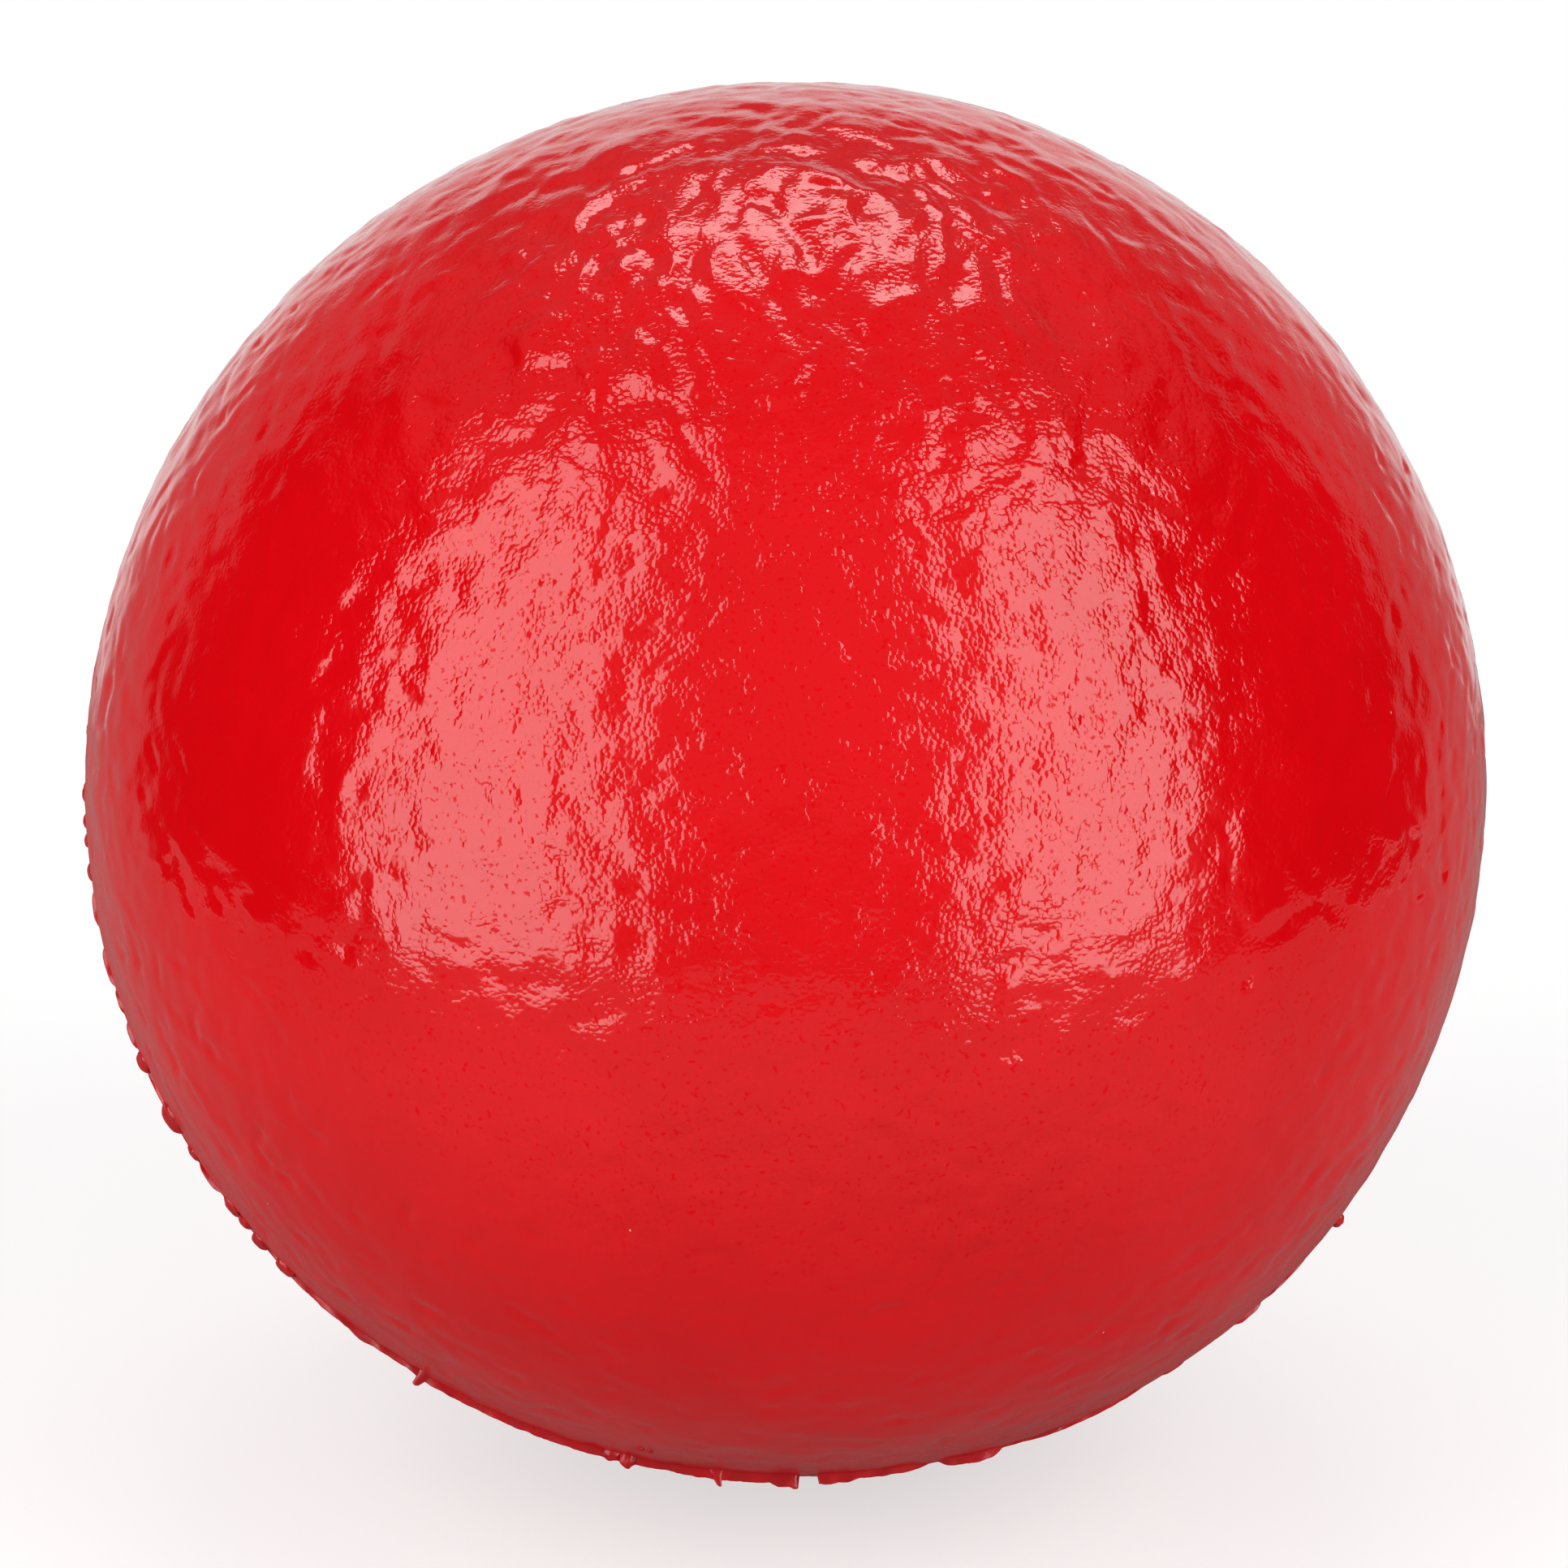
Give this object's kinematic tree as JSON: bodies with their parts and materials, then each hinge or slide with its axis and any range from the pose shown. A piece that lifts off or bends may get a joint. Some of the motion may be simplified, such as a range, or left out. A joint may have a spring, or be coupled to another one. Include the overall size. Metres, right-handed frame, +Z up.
{
  "type": "foam dodgeball",
  "caption": "Foam dodgeball: a solid foam core in a glossy wrinkled red skin moulded in halves, with a thin fin and squeezed-out drops along its seam.",
  "frame": {"origin": "centre of the ball", "axes": "+Z up; the front half of the skin faces -Y and leans back 30 degrees, so its pole points along (0, -0.866, 0.5); the seam's plane holds the X axis; the ball rests on the rear half, clear of the seam"},
  "size_m": [0.1788, 0.178, 0.178],
  "materials": {
    "foam": "open-cell foam, matte, cream",
    "skin": "soft moulded urethane skin, glossy, red, with creases, fine orange peel and tiny pale specks",
    "seam_flash": "the same urethane where it was squeezed out at the seam, glossy, a darker red"
  },
  "bodies": {
    "root": {"foam_core": "foam", "front_skin": "skin", "rear_skin": "skin", "seam_fin": "seam_flash", "seam_drops": "seam_flash", "vent_nibs": "seam_flash"}
  },
  "joints": []
}
